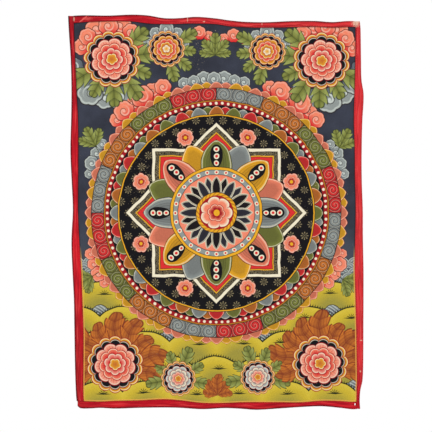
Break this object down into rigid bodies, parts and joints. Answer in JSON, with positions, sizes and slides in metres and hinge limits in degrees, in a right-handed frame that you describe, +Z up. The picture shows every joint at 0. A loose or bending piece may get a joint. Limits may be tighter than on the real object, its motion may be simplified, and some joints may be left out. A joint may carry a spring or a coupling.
{
  "type": "thangka painting",
  "caption": "Painted cotton panel with a mandala of lotus rings, its edges bound in folded cloth strips; it hangs upright from its top edge.",
  "frame": {"origin": "the middle of the top edge, at the crest of the top binding's fold", "axes": "+X to the right as one looks at the painted face, +Z up the cloth's long side, -Y the way the painted face looks"},
  "size_m": [0.3685, 0.0113, 0.4925],
  "materials": {
    "painted_cotton": "matt water paint on primed cotton canvas, plain cotton behind",
    "red_binding": "plain-woven cotton with a slight sheen, scuffed along its fold"
  },
  "bodies": {
    "root": {"painted_canvas": "painted_cotton", "binding_top": "red_binding", "binding_bottom": "red_binding", "binding_left": "red_binding", "binding_right": "red_binding"}
  },
  "joints": []
}
